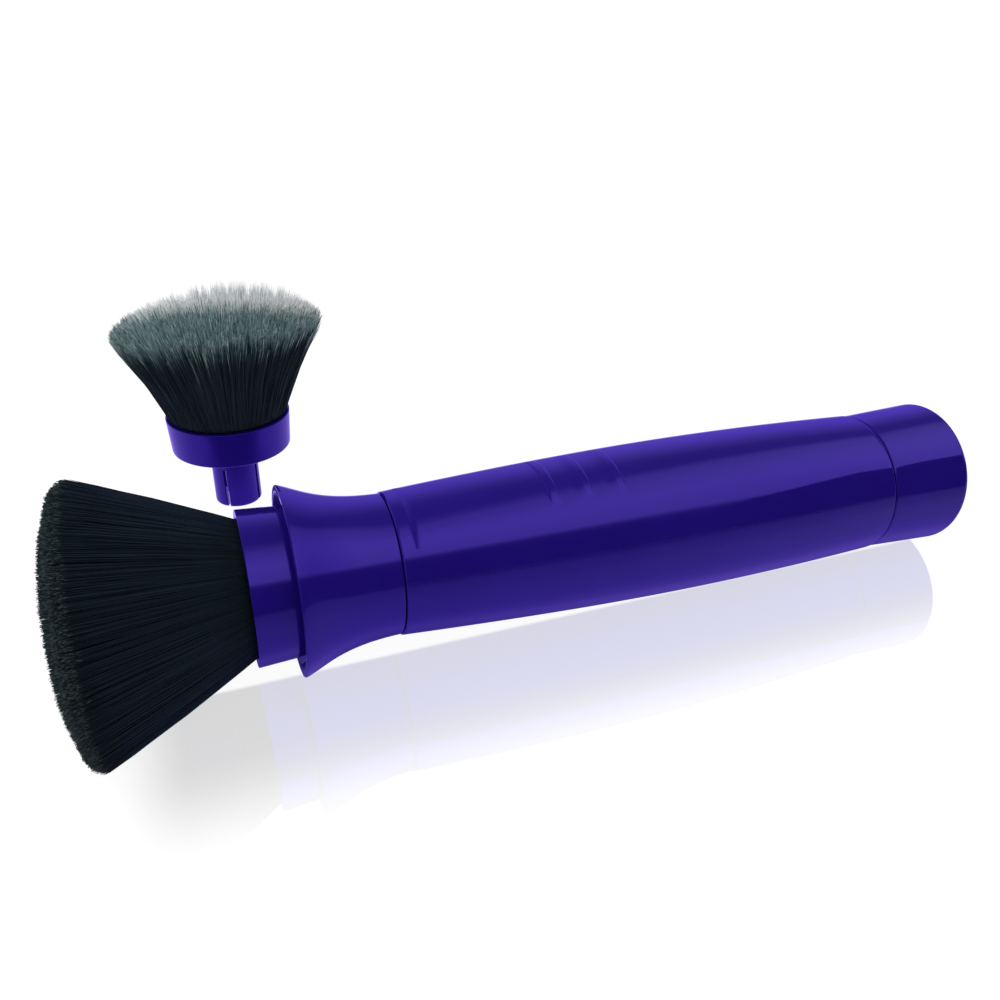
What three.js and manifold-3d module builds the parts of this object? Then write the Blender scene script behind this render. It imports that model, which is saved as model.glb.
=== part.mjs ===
// Neck duster brush: a hollow moulded handle with a flared collar, a removable
// brush head pushed into the collar by a split stub, a plug-in rear cap, and a
// spare brush head standing beside it on its own stub.
//
// Millimetres, +Z up. The handle's axis is the X axis and the brush points
// towards -X. The origin is the centre of the flat end face of the rear cap.

import * as THREE from 'three';
import { mergeVertices } from 'three/addons/utils/BufferGeometryUtils.js';
import Module from 'manifold-3d';

const wasm = await Module();
wasm.setup();

const { degToRad, lerp, mapLinear } = THREE.MathUtils;

// ---------------------------------------------------------- shared dimensions
const SEGMENTS = 44;            // facets round a large turned part
const SEGMENTS_SMALL = 28;      // facets round the socket and the glue plugs
const GAP = 0.3;                // clearance between neighbouring solids
const HALF_SEAM = 0.15;         // half of each seam gap

// outside of the collar: distance behind the rim, radius
const COLLAR = [
  [0.12, 18.98], [1.2, 18.53], [2.37, 18.04], [4.1, 17.29], [5.92, 16.54],
  [8.9, 15.6], [11.84, 14.95], [15.8, 14.45], [19.73, 14.27],
];
// outside of the barrel: distance behind the front seam, radius
const BARREL = [
  [0, 14.52], [9.5, 15.07], [19, 15.58], [28.29, 16.02], [38, 16.4],
  [47, 16.7], [56.57, 16.88], [66, 16.94], [75.5, 16.93], [84.86, 16.83],
  [94.5, 16.63], [104, 16.32], [113.14, 15.95],
];
const BARREL_WALL = 1.8;
const [COLLAR_LENGTH] = COLLAR.at(-1);
const [BARREL_LENGTH, BARREL_REAR_R] = BARREL.at(-1);

// stations along the handle
const RIM_X = -153.44;                                // mouth of the flared collar
const FRONT_SEAM_X = RIM_X + COLLAR_LENGTH;           // collar meets barrel
const REAR_SEAM_X = FRONT_SEAM_X + BARREL_LENGTH;     // barrel meets rear cap
const HEAD_BASE_X = -152.51;                          // base of the fitted head's cup
const WEB_REAR_X = -148.66;                           // rear face of the collar's web

const TABLE_Z = -COLLAR[0][1];  // plane the collar rim rests on

// ------------------------------------------------------------------- helpers
// welds a closed geometry into a solid, turning its faces outwards
function toSolid(geometry) {
  for (const name of Object.keys(geometry.attributes)) {
    if (name !== 'position') geometry.deleteAttribute(name);
  }
  const welded = mergeVertices(geometry, 1e-5);
  const positions = welded.attributes.position.array;
  const indices = welded.index.array;
  const triangles = [];
  const cornerA = new THREE.Vector3();
  const cornerB = new THREE.Vector3();
  const cornerC = new THREE.Vector3();
  let volume = 0;
  for (let i = 0; i < indices.length; i += 3) {
    const [a, b, c] = indices.slice(i, i + 3);
    if (a === b || b === c || c === a) continue;
    triangles.push(a, b, c);
    cornerA.fromArray(positions, 3 * a);
    cornerB.fromArray(positions, 3 * b);
    cornerC.fromArray(positions, 3 * c);
    volume += cornerA.dot(cornerB.cross(cornerC));
  }
  if (volume < 0) {
    for (let i = 0; i < triangles.length; i += 3) {
      [triangles[i + 1], triangles[i + 2]] = [triangles[i + 2], triangles[i + 1]];
    }
  }
  return new wasm.Manifold(new wasm.Mesh({
    numProp: 3,
    vertProperties: new Float32Array(positions),
    triVerts: new Uint32Array(triangles),
  }));
}

function toGeometry(solid) {
  const { vertProperties, triVerts } = solid.getMesh();
  const geometry = new THREE.BufferGeometry();
  const positions = new THREE.BufferAttribute(new Float32Array(vertProperties), 3);
  geometry.setAttribute('position', positions);
  geometry.setIndex(new THREE.BufferAttribute(new Uint32Array(triVerts), 1));
  geometry.computeVertexNormals();
  return geometry;
}

// a profile of [along, radius] turned about Y; it is closed by its first point
// unless both ends already lie on the axis
function lathe(profile, segments) {
  const points = profile.map(([along, radius]) => new THREE.Vector2(radius, along));
  const endsOnAxis = profile[0][1] === 0 && profile.at(-1)[1] === 0;
  if (!endsOnAxis) points.push(points[0].clone());
  return new THREE.LatheGeometry(points, segments);
}

const turnedZ = (profile, segments) => toSolid(lathe(profile, segments).rotateX(Math.PI / 2));
const turnedX = (profile, segments) => toSolid(lathe(profile, segments).rotateZ(-Math.PI / 2));

const box = (size, centre) => new THREE.BoxGeometry(...size).translate(...centre);

const inset = (stations, depth) => stations.map(([x, radius]) => [x, radius - depth]);

// a tube about X from its outside stations and its wall thickness
const tubeX = (stations, wall) =>
  turnedX([...stations, ...inset(stations, wall).reverse()], SEGMENTS);

// ----------------------------------------------------------------- materials
const PLASTIC = { color: 0x2c1c8c, roughness: 0.3 };
const SOCKET_PLASTIC = { color: 0x1d1366, roughness: 0.45 };
const GLUE = { color: 0x2a2622, roughness: 0.5 };
const BRISTLE = { color: 0x0d1316, roughness: 0.75 };
const SPARE_BRISTLE = { color: 0x4a5658, roughness: 0.75 };

function piece(name, solid, materialName, finish) {
  const material = new THREE.MeshStandardMaterial({
    name: materialName,
    metalness: 0,
    ...finish,
  });
  const mesh = new THREE.Mesh(toGeometry(solid), material);
  mesh.name = name;
  return mesh;
}

// -------------------------------------------------------------- barrel halves
const SPLIT_ROLL = 15;          // degrees the split plane is rolled about the axis

// locating tongue on the lower half, and its groove in the upper half
const TONGUE_T = 0.7;           // thickness
const TONGUE_H = 1.1;           // how far it enters the upper half
const TONGUE_INSET = 0.55;      // below the barrel's outside
const TONGUE_ROOT = 1.2;        // how far it reaches down into the lower wall
const GROOVE_SIDE_GAP = 0.25;
const GROOVE_END_GAP = 0.4;
const GROOVE_OVERCUT = 1;       // how far the cut starts below the split plane

// short raised bars on top of the upper half
const RIB_X = [-101.5, -94.3, -87.1];
const RIB_W = 2.6;
const RIB_H = 0.35;
const RIB_BEVEL = 0.5;          // length of each sloped side
const RIB_FOOT = 0.05;          // height where each slope starts
const RIB_SUNK = 0.6;           // depth sunk into the wall
const RIB_ARC = [52, 116];      // degrees round the axis, from the -Y side, up

const barrelOutside = BARREL.map(([distance, radius]) => [FRONT_SEAM_X + distance, radius]);
barrelOutside[0][0] += HALF_SEAM;
barrelOutside.at(-1)[0] -= HALF_SEAM;

function barrelTube() {
  // the bore follows every other station of the outside
  const bore = inset(barrelOutside.filter((_, i) => i % 2 === 0), BARREL_WALL);
  return turnedX([...barrelOutside, ...bore.reverse()], SEGMENTS);
}

// space between two heights above the rolled split plane
function splitSlab(bottom, top) {
  const slab = box([140, 60, top - bottom], [-80, 0, (bottom + top) / 2]);
  return toSolid(slab.rotateX(-degToRad(SPLIT_ROLL)));
}

function tongue() {
  const outside = inset(barrelOutside.slice(1, -1), TONGUE_INSET);
  return tubeX(outside, TONGUE_T).intersect(splitSlab(-TONGUE_ROOT, TONGUE_H));
}

function groove() {
  const outside = inset(barrelOutside.slice(1, -1), TONGUE_INSET - GROOVE_SIDE_GAP);
  outside[0][0] -= GROOVE_END_GAP;
  outside.at(-1)[0] += GROOVE_END_GAP;
  return tubeX(outside, TONGUE_T + 2 * GROOVE_SIDE_GAP)
    .intersect(splitSlab(-GROOVE_OVERCUT, TONGUE_H + GAP));
}

function barrelRadius(x) {
  const distance = x - FRONT_SEAM_X;
  const next = BARREL.findIndex(([station]) => station >= distance);
  const [startDistance, startRadius] = BARREL[next - 1];
  const [endDistance, endRadius] = BARREL[next];
  return mapLinear(distance, startDistance, endDistance, startRadius, endRadius);
}

// wedge opening from the axis over the ribs' arc, centred on x
function ribWedge(x) {
  const width = 8;
  const [start, end] = RIB_ARC.map(degToRad);
  const corner = (reach, angle) =>
    new THREE.Vector2(-reach * Math.cos(angle), reach * Math.sin(angle));
  const outline = new THREE.Shape([
    new THREE.Vector2(0, 0),
    corner(40, start),
    corner(60, (start + end) / 2),
    corner(40, end),
  ]);
  const wedge = new THREE.ExtrudeGeometry(outline, { depth: width, bevelEnabled: false });
  // the outline's plane becomes YZ and the extrusion runs along X
  wedge.applyMatrix4(new THREE.Matrix4().set(
    0, 0, 1, x - width / 2,
    1, 0, 0, 0,
    0, 1, 0, 0,
    0, 0, 0, 1,
  ));
  return toSolid(wedge);
}

function rib(x) {
  const start = x - RIB_W / 2;
  const end = x + RIB_W / 2;
  const ring = turnedX([
    [start, barrelRadius(start) - RIB_SUNK],
    [start, barrelRadius(start) + RIB_FOOT],
    [start + RIB_BEVEL, barrelRadius(start + RIB_BEVEL) + RIB_H],
    [end - RIB_BEVEL, barrelRadius(end - RIB_BEVEL) + RIB_H],
    [end, barrelRadius(end) + RIB_FOOT],
    [end, barrelRadius(end) - RIB_SUNK],
  ], SEGMENTS);
  return ring.intersect(ribWedge(x));
}

function upperShell() {
  const shell = barrelTube().intersect(splitSlab(HALF_SEAM, 30 + HALF_SEAM)).subtract(groove());
  return RIB_X.reduce((ribbed, x) => ribbed.add(rib(x)), shell);
}

const lowerShell = () =>
  barrelTube().intersect(splitSlab(-30 - HALF_SEAM, -HALF_SEAM)).add(tongue());

// ------------------------------------- front collar, and the socket in its web
const RIM_R = 18.72;            // outer edge of the rim's front face
const SPIGOT_R = 12.4;          // spigot that enters the barrel
const SPIGOT_END_X = -121.5;
const COLLAR_BORE_R = 11.1;
const MOUTH_R = 17.6;
const MOUTH_FLOOR_R = 15.75;
const MOUTH_DEPTH = 2.7;
const SEAT_R = 13.4;            // raised seat behind the head's base
const SEAT_FOOT_R = SEAT_R + 0.1;

// head socket: a flanged bush
const SOCKET_BORE_R = 6.18;
const SOCKET_R = 7.9;
const SOCKET_FLANGE_R = 10.55;
const SOCKET_FLANGE_T = 1.8;
const SOCKET_END_X = -134.46;
const SOCKET_SETBACK = 0.25;    // front face behind the seat
const SOCKET_LEAD_IN_R = 0.5;   // widening of the bore at its mouth
const SOCKET_LEAD_IN_L = 0.6;

const SEAT_X = HEAD_BASE_X + GAP;

function frontCollar() {
  const outside = COLLAR.map(([distance, radius]) => [RIM_X + distance, radius]);
  outside.at(-1)[0] -= HALF_SEAM;
  return turnedX([
    [RIM_X, RIM_R],
    ...outside,
    [FRONT_SEAM_X - HALF_SEAM, SPIGOT_R],
    [SPIGOT_END_X, SPIGOT_R],
    [SPIGOT_END_X, COLLAR_BORE_R],
    [WEB_REAR_X, COLLAR_BORE_R],
    [WEB_REAR_X, SOCKET_R + GAP],
    [SEAT_X, SOCKET_R + GAP],
    [SEAT_X, SEAT_R],
    [RIM_X + MOUTH_DEPTH, SEAT_FOOT_R],
    [RIM_X + MOUTH_DEPTH, MOUTH_FLOOR_R],
    [RIM_X, MOUTH_R],
  ], SEGMENTS);
}

function headSocket() {
  const front = SEAT_X + SOCKET_SETBACK;
  const flangeFront = WEB_REAR_X + GAP;
  const flangeRear = flangeFront + SOCKET_FLANGE_T;
  return turnedX([
    [front, SOCKET_BORE_R + SOCKET_LEAD_IN_R],
    [front, SOCKET_R],
    [flangeFront, SOCKET_R],
    [flangeFront, SOCKET_FLANGE_R],
    [flangeRear, SOCKET_FLANGE_R],
    [flangeRear, SOCKET_R],
    [SOCKET_END_X, SOCKET_R],
    [SOCKET_END_X, SOCKET_BORE_R],
    [front + SOCKET_LEAD_IN_L, SOCKET_BORE_R],
  ], SEGMENTS_SMALL);
}

// ------------------------------------------------------------------ rear cap
const CAP_FRONT_R = 15.69;
const CAP_REAR_R = 16.5;
const CAP_EDGE_R = 1.5;         // radius of the rounded rear edge
const CAP_EDGE_STEPS = 4;
const CAP_END_T = 2.2;          // thickness of the end wall
const CAP_PLUG_R = BARREL_REAR_R - BARREL_WALL - GAP;
const CAP_PLUG_END_X = -30.3;
const CAP_HOLLOW_R = CAP_PLUG_R - 1.6;
const CAP_HOLLOW_TAPER_X = -4.4; // where the hollow starts to narrow
const CAP_HOLLOW_END_R = CAP_PLUG_R - 3.2;
const CAP_CHAMFER_L = 0.6;
const CAP_CHAMFER_R = 0.4;

function rearCap() {
  const start = REAR_SEAM_X + HALF_SEAM;
  const roundedEdge = [];
  for (let i = 0; i <= CAP_EDGE_STEPS; i++) {
    const angle = (i / CAP_EDGE_STEPS) * (Math.PI / 2);
    roundedEdge.push([
      -CAP_EDGE_R * (1 - Math.sin(angle)),
      CAP_REAR_R - CAP_EDGE_R * (1 - Math.cos(angle)),
    ]);
  }
  return turnedX([
    [start, CAP_FRONT_R],
    // a slight bulge between the seam and the rounded edge
    [lerp(start, -CAP_EDGE_R, 2 / 3), lerp(CAP_FRONT_R, CAP_REAR_R, 0.6)],
    ...roundedEdge,
    [0, 0],
    [-CAP_END_T, 0],
    [-CAP_END_T, CAP_HOLLOW_END_R],
    [CAP_HOLLOW_TAPER_X, CAP_HOLLOW_R],
    [CAP_PLUG_END_X, CAP_HOLLOW_R],
    [CAP_PLUG_END_X, CAP_PLUG_R - CAP_CHAMFER_R],
    [CAP_PLUG_END_X + CAP_CHAMFER_L, CAP_PLUG_R],
    [start, CAP_PLUG_R],
  ], SEGMENTS);
}

// --------------------------------------------------------------- brush heads
// local z = 0 is the cup's base, +z towards the bristle tips
const CUP_H = 9;
const CUP_R = 15.3;
const CUP_BASE_R = 14.76;
const CUP_WALL = 1.5;
const CUP_FLOOR = 1.8;
const CUP_LIP_CHAMFER = 0.15;
const CUP_BASE_CHAMFER = 0.35;
const STUB_R = 5.88;
const STUB_BORE_R = 4.3;
const STUB_L = 15.91;
const STUB_CHAMFER = 0.7;
const BORE_TOP_Z = -0.4;        // closed end of the stub's bore
const BORE_TAPER = 0.8;         // 45 degree narrowing at that end
const SLOT_W = 0.75;
const SLOT_TOP = 2.4;           // depth below the base where the slots start
const PLUG_Z = CUP_FLOOR + GAP;
const PLUG_T = 2.4;
const TUFT_ROOT_Z = PLUG_Z + PLUG_T + GAP;
const TUFT_ROOT_R = 13.3;

// fitted tuft: distance in front of the cup mouth, radius
const TUFT = [
  [0.2, 13.45], [7, 16.5], [14, 19.7], [21, 22.8], [25.6, 24.9], [27.6, 25.8],
  [29.4, 25.0], [31.2, 22.0], [32.6, 16.5], [33.4, 10.0], [33.9, 4.5], [34.0, 0],
];
// spare tuft: distance above the cup mouth, radius
const SPARE_TUFT = [
  [0.2, 13.45], [6, 16.3], [12, 19.1], [18, 21.9], [22.3, 23.9], [23.3, 23.6],
  [24.4, 18.0], [25.1, 9.5], [25.3, 0],
];

// cup and hollow stub, the stub split by two crossed slots
function ferrule(slotAngle) {
  let body = turnedZ([
    [CUP_H, CUP_R - CUP_WALL],
    [CUP_FLOOR, CUP_BASE_R - CUP_WALL + 0.02],
    [CUP_FLOOR, 0],
    [BORE_TOP_Z, 0],
    [BORE_TOP_Z, STUB_BORE_R - BORE_TAPER],
    [BORE_TOP_Z - BORE_TAPER, STUB_BORE_R],
    [-STUB_L, STUB_BORE_R],
    [-STUB_L, STUB_R - STUB_CHAMFER],
    [-STUB_L + STUB_CHAMFER, STUB_R],
    [0, STUB_R],
    [0, CUP_BASE_R - CUP_BASE_CHAMFER],
    [CUP_BASE_CHAMFER, CUP_BASE_R],
    [CUP_H - CUP_LIP_CHAMFER, CUP_R],
    [CUP_H, CUP_R - CUP_LIP_CHAMFER],
  ], SEGMENTS);
  const slotLength = STUB_L - SLOT_TOP + 2;
  for (const turn of [0, 90]) {
    const slot = box([2 * STUB_R + 4, SLOT_W, slotLength], [0, 0, -SLOT_TOP - slotLength / 2]);
    body = body.subtract(toSolid(slot.rotateZ(degToRad(slotAngle + turn))));
  }
  return body;
}

const gluePlug = () => turnedZ([
  [PLUG_Z, 0],
  [PLUG_Z, TUFT_ROOT_R - 0.4],
  [PLUG_Z + PLUG_T, TUFT_ROOT_R - 0.2],
  [PLUG_Z + PLUG_T, 0],
], SEGMENTS_SMALL);

const tuft = (stations) => turnedZ([
  [TUFT_ROOT_Z, 0],
  [TUFT_ROOT_Z, TUFT_ROOT_R - 0.25],
  [CUP_H - 0.3, TUFT_ROOT_R + 0.05],
  ...stations.map(([distance, radius]) => [CUP_H + distance, radius]),
], SEGMENTS);

// the fitted tuft rests on the table, so its underside is pressed flat; once
// the head is turned towards -X, its local x is the height
function pressedTuft() {
  const side = 120;
  const aboveTable = toSolid(box([side, side, side], [TABLE_Z + side / 2, 0, 0]));
  return tuft(TUFT).intersect(aboveTable);
}

function brushHead({ ferruleName, prefix, slotAngle, tuftSolid, bristle }) {
  const head = new THREE.Group();
  head.add(
    piece(ferruleName, ferrule(slotAngle), `${prefix}ferrule_plastic`, PLASTIC),
    piece(`${prefix}tuft_glue_plug`, gluePlug(), `${prefix}glue`, GLUE),
    piece(`${prefix}bristle_tuft`, tuftSolid, `${prefix}bristle`, bristle),
  );
  return head;
}

// ------------------------------------------------------------------ assembly
const SPARE_X = -156.56;
const SPARE_Y = 73.6;

const fittedHead = brushHead({
  ferruleName: 'brush_ferrule',
  prefix: '',
  slotAngle: 32,
  tuftSolid: pressedTuft(),
  bristle: BRISTLE,
});
fittedHead.position.set(HEAD_BASE_X, 0, 0);
fittedHead.rotation.y = -Math.PI / 2;   // local +z -> -X, local +x -> +Z

const spareHead = brushHead({
  ferruleName: 'spare_ferrule',
  prefix: 'spare_',
  slotAngle: -122.5,
  tuftSolid: tuft(SPARE_TUFT),
  bristle: SPARE_BRISTLE,
});
spareHead.position.set(SPARE_X, SPARE_Y, TABLE_Z + STUB_L);

const handle = new THREE.Group();
handle.add(
  piece('barrel_upper_shell', upperShell(), 'barrel_upper_plastic', PLASTIC),
  piece('barrel_lower_shell', lowerShell(), 'barrel_lower_plastic', PLASTIC),
  piece('front_collar', frontCollar(), 'collar_plastic', PLASTIC),
  piece('head_socket', headSocket(), 'socket_plastic', SOCKET_PLASTIC),
  piece('rear_cap', rearCap(), 'cap_plastic', PLASTIC),
);

const brush = new THREE.Group();
brush.add(handle, fittedHead, spareHead);

export default brush;
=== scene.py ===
"""Neck duster brush, with a spare brush head standing upright beside it.

The handle's axis is X, at y = z = 0: bristles at -X, flat end of the rear cap at x = 0. The brush
lies on its collar rim and its rear cap, so the table slopes a little along X. The camera looks
from -Y. The scene is in metres; sizes in this script are in mm unless they say otherwise.
"""
import bpy
import math
import numpy as np
from mathutils import Matrix, Vector


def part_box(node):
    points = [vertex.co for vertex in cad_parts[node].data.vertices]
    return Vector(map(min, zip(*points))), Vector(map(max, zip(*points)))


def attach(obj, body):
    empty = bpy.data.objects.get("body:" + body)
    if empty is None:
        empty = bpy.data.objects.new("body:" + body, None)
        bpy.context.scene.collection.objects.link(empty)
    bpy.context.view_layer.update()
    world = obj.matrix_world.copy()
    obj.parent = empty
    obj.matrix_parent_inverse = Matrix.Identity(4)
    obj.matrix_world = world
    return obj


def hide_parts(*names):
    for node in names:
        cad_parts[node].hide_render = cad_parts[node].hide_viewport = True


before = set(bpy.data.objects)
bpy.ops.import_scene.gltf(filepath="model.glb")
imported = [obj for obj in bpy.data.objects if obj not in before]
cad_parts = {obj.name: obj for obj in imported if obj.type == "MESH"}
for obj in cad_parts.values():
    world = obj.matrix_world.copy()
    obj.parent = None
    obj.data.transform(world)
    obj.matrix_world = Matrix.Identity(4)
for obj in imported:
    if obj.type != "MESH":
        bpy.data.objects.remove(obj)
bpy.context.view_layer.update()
MM = 0.001
TO_MM = 1000
strand_rng = np.random.default_rng(41)      # turns each filament's cross-section

# ---------------------------------------------------------- places in the frame
collar_low, collar_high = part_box("front_collar")
shell_low, shell_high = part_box("barrel_lower_shell")
socket_low, socket_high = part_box("head_socket")
cap_low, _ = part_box("rear_cap")
ferrule_low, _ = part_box("brush_ferrule")
spare_low, spare_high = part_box("spare_ferrule")

RIM_X = collar_low.x * TO_MM
TABLE_Z = collar_low.z * TO_MM              # the table's height under the collar rim
BARREL_FRONT = shell_low.x * TO_MM
BARREL_REAR = shell_high.x * TO_MM
CAP_REST_X, CAP_REST_Z = -1.5, -16.5        # where the rear cap touches the table
TILT = math.atan2(CAP_REST_Z - TABLE_Z, CAP_REST_X - RIM_X)
WEB_REAR = RIM_X + 4.78                     # rear of the web that holds the socket

CUP_HEIGHT = 9.0
STUB_LENGTH = 15.91
MOUTH_X = ferrule_low.x * TO_MM             # mouth of the fitted ferrule's cup
CUP_BASE_X = MOUTH_X + CUP_HEIGHT
SPARE = np.array([(spare_low.x + spare_high.x) * 500, (spare_low.y + spare_high.y) * 500,
                  spare_low.z * TO_MM + STUB_LENGTH])   # centre of the spare cup's base


# ---------------------------------------------------------------- shape helpers
def spline(table):
    """A natural cubic spline through [position, value] pairs."""
    x, y = np.array(table, float).T
    count, gap = len(x), np.diff(x)
    system, slopes = np.zeros((count, count)), np.zeros(count)
    system[0, 0] = system[-1, -1] = 1
    for i in range(1, count - 1):
        system[i, i - 1:i + 2] = gap[i - 1], 2 * (gap[i - 1] + gap[i]), gap[i]
        slopes[i] = 6 * ((y[i + 1] - y[i]) / gap[i] - (y[i] - y[i - 1]) / gap[i - 1])
    curve = np.linalg.solve(system, slopes)

    def value(position):
        position = np.asarray(position, float)
        i = np.clip(np.searchsorted(x, position) - 1, 0, count - 2)
        past, left, h = position - x[i], x[i + 1] - position, gap[i]
        return ((curve[i] * left ** 3 + curve[i + 1] * past ** 3) / (6 * h)
                + (y[i] / h - curve[i] * h / 6) * left
                + (y[i + 1] / h - curve[i + 1] * h / 6) * past)
    return value


def smooth01(t):
    """0 to 1 with soft ends."""
    t = np.clip(t, 0, 1)
    return t * t * (3 - 2 * t)


def make_mesh(name, verts, faces, material, uv=None):
    """A smooth mesh object; faces is a list of index tuples or an (n, 3) array."""
    mesh = bpy.data.meshes.new(name)
    verts = np.asarray(verts, np.float64) * MM
    if isinstance(faces, np.ndarray):
        loops, starts = faces.ravel(), np.arange(len(faces)) * faces.shape[1]
    else:
        loops = np.fromiter((i for face in faces for i in face), np.int64)
        totals = np.fromiter((len(face) for face in faces), np.int64)
        starts = np.concatenate([[0], np.cumsum(totals)[:-1]])
    mesh.vertices.add(len(verts))
    mesh.vertices.foreach_set("co", verts.astype(np.float32).ravel())
    mesh.loops.add(len(loops))
    mesh.loops.foreach_set("vertex_index", loops.astype(np.int32))
    mesh.polygons.add(len(starts))
    mesh.polygons.foreach_set("loop_start", starts.astype(np.int32))
    mesh.update(calc_edges=True)
    mesh.polygons.foreach_set("use_smooth", np.ones(len(starts), bool))
    if uv is not None:
        layer = mesh.uv_layers.new(name="OFBake")
        layer.data.foreach_set("uv", np.asarray(uv, np.float32)[loops].ravel())
    mesh.materials.append(material)
    return link_object(name, mesh)


def link_object(name, data):
    ob = bpy.data.objects.new(name, data)
    bpy.context.scene.collection.objects.link(ob)
    return ob


def rounded(points, closed=True, steps=5):
    """Rounds a polyline of [along, radius, corner radius], with a support point beside each arc."""
    corners = [np.array(point[:2], float) for point in points]
    out, count = [], len(points)
    for i, corner in enumerate(corners):
        radius = points[i][2] if len(points[i]) > 2 else 0
        if radius <= 0 or (not closed and i in (0, count - 1)):
            out.append(corner)
            continue
        back, ahead = corners[i - 1] - corner, corners[(i + 1) % count] - corner
        back_length, ahead_length = np.linalg.norm(back), np.linalg.norm(ahead)
        back, ahead = back / back_length, ahead / ahead_length
        angle = math.acos(max(-1, min(1, float(back @ ahead))))
        if angle > math.radians(177):
            out.append(corner)
            continue
        reach = min(radius / math.tan(angle / 2), 0.45 * back_length, 0.45 * ahead_length)
        radius = reach * math.tan(angle / 2)
        bisector = (back + ahead) / np.linalg.norm(back + ahead)
        centre = corner + bisector * (radius / math.sin(angle / 2))
        first, last = corner + back * reach, corner + ahead * reach
        a0, a1 = (math.atan2(*(p - centre)[::-1]) for p in (first, last))
        turn = (a1 - a0 + math.pi) % (2 * math.pi) - math.pi
        out.append(first + back * min(0.1, 0.25 * (back_length - reach)))
        for k in range(steps + 1):
            a = a0 + turn * k / steps
            out.append(centre + radius * np.array([math.cos(a), math.sin(a)]))
        out.append(last + ahead * min(0.1, 0.25 * (ahead_length - reach)))
    return np.array(out)


def bridge(rows, closed=False):
    """Faces between neighbouring rings of vertex numbers; a pole's ring repeats one number."""
    faces = []
    for i in range(len(rows) if closed else len(rows) - 1):
        a, b = rows[i], rows[(i + 1) % len(rows)]
        for j in range(len(a)):
            k = (j + 1) % len(a)
            face = tuple(dict.fromkeys((a[j], b[j], b[k], a[k])))
            if len(face) > 2:
                faces.append(face)
    return faces


def volume(ob):
    mesh = ob.data
    mesh.calc_loop_triangles()
    corners = np.zeros(len(mesh.loop_triangles) * 3, np.int32)
    mesh.loop_triangles.foreach_get("vertices", corners)
    co = np.zeros(len(mesh.vertices) * 3, np.float32)
    mesh.vertices.foreach_get("co", co)
    p = co.reshape(-1, 3)[corners.reshape(-1, 3)].astype(float)
    return float(np.einsum("ij,ij->i", p[:, 0], np.cross(p[:, 1], p[:, 2])).sum() / 6)


def face_out(ob):
    if volume(ob) < 0:
        ob.data.flip_normals()
    return ob


def revolve(name, profile, material, closed=True, segments=160, axis="X"):
    """Turns a polyline of [along, radius]. An open one starts and ends on the axis."""
    along, radius = profile.T
    area = 0.5 * np.sum(along * np.roll(radius, -1) - np.roll(along, -1) * radius)
    if area > 0:
        profile = profile[::-1]
    angles = np.arange(segments) / segments * 2 * math.pi
    verts, rows = [], []
    for x, r in profile:
        if r < 1e-6:
            rows.append([len(verts)] * segments)
            verts.append((x, 0, 0))
        else:
            rows.append(list(range(len(verts), len(verts) + segments)))
            verts += [(x, r * math.cos(a), r * math.sin(a)) for a in angles]
    verts = np.array(verts)
    if axis == "Z":
        verts = verts[:, [1, 2, 0]]
    return face_out(make_mesh(name, verts, bridge(rows, closed), material))


def settle(ob):
    """Replaces ob's mesh by its evaluated one, so that no modifier is left."""
    depsgraph = bpy.context.evaluated_depsgraph_get()
    mesh = bpy.data.meshes.new_from_object(ob.evaluated_get(depsgraph),
                                           preserve_all_data_layers=True, depsgraph=depsgraph)
    mesh.name = ob.name
    ob.modifiers.clear()
    ob.data = mesh


def register(ob, body, slot, *replaced):
    """Tells the frame which body ob rides on and the pieces it replaces; slot is not used."""
    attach(ob, body)
    if replaced:
        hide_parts(*replaced)


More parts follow.
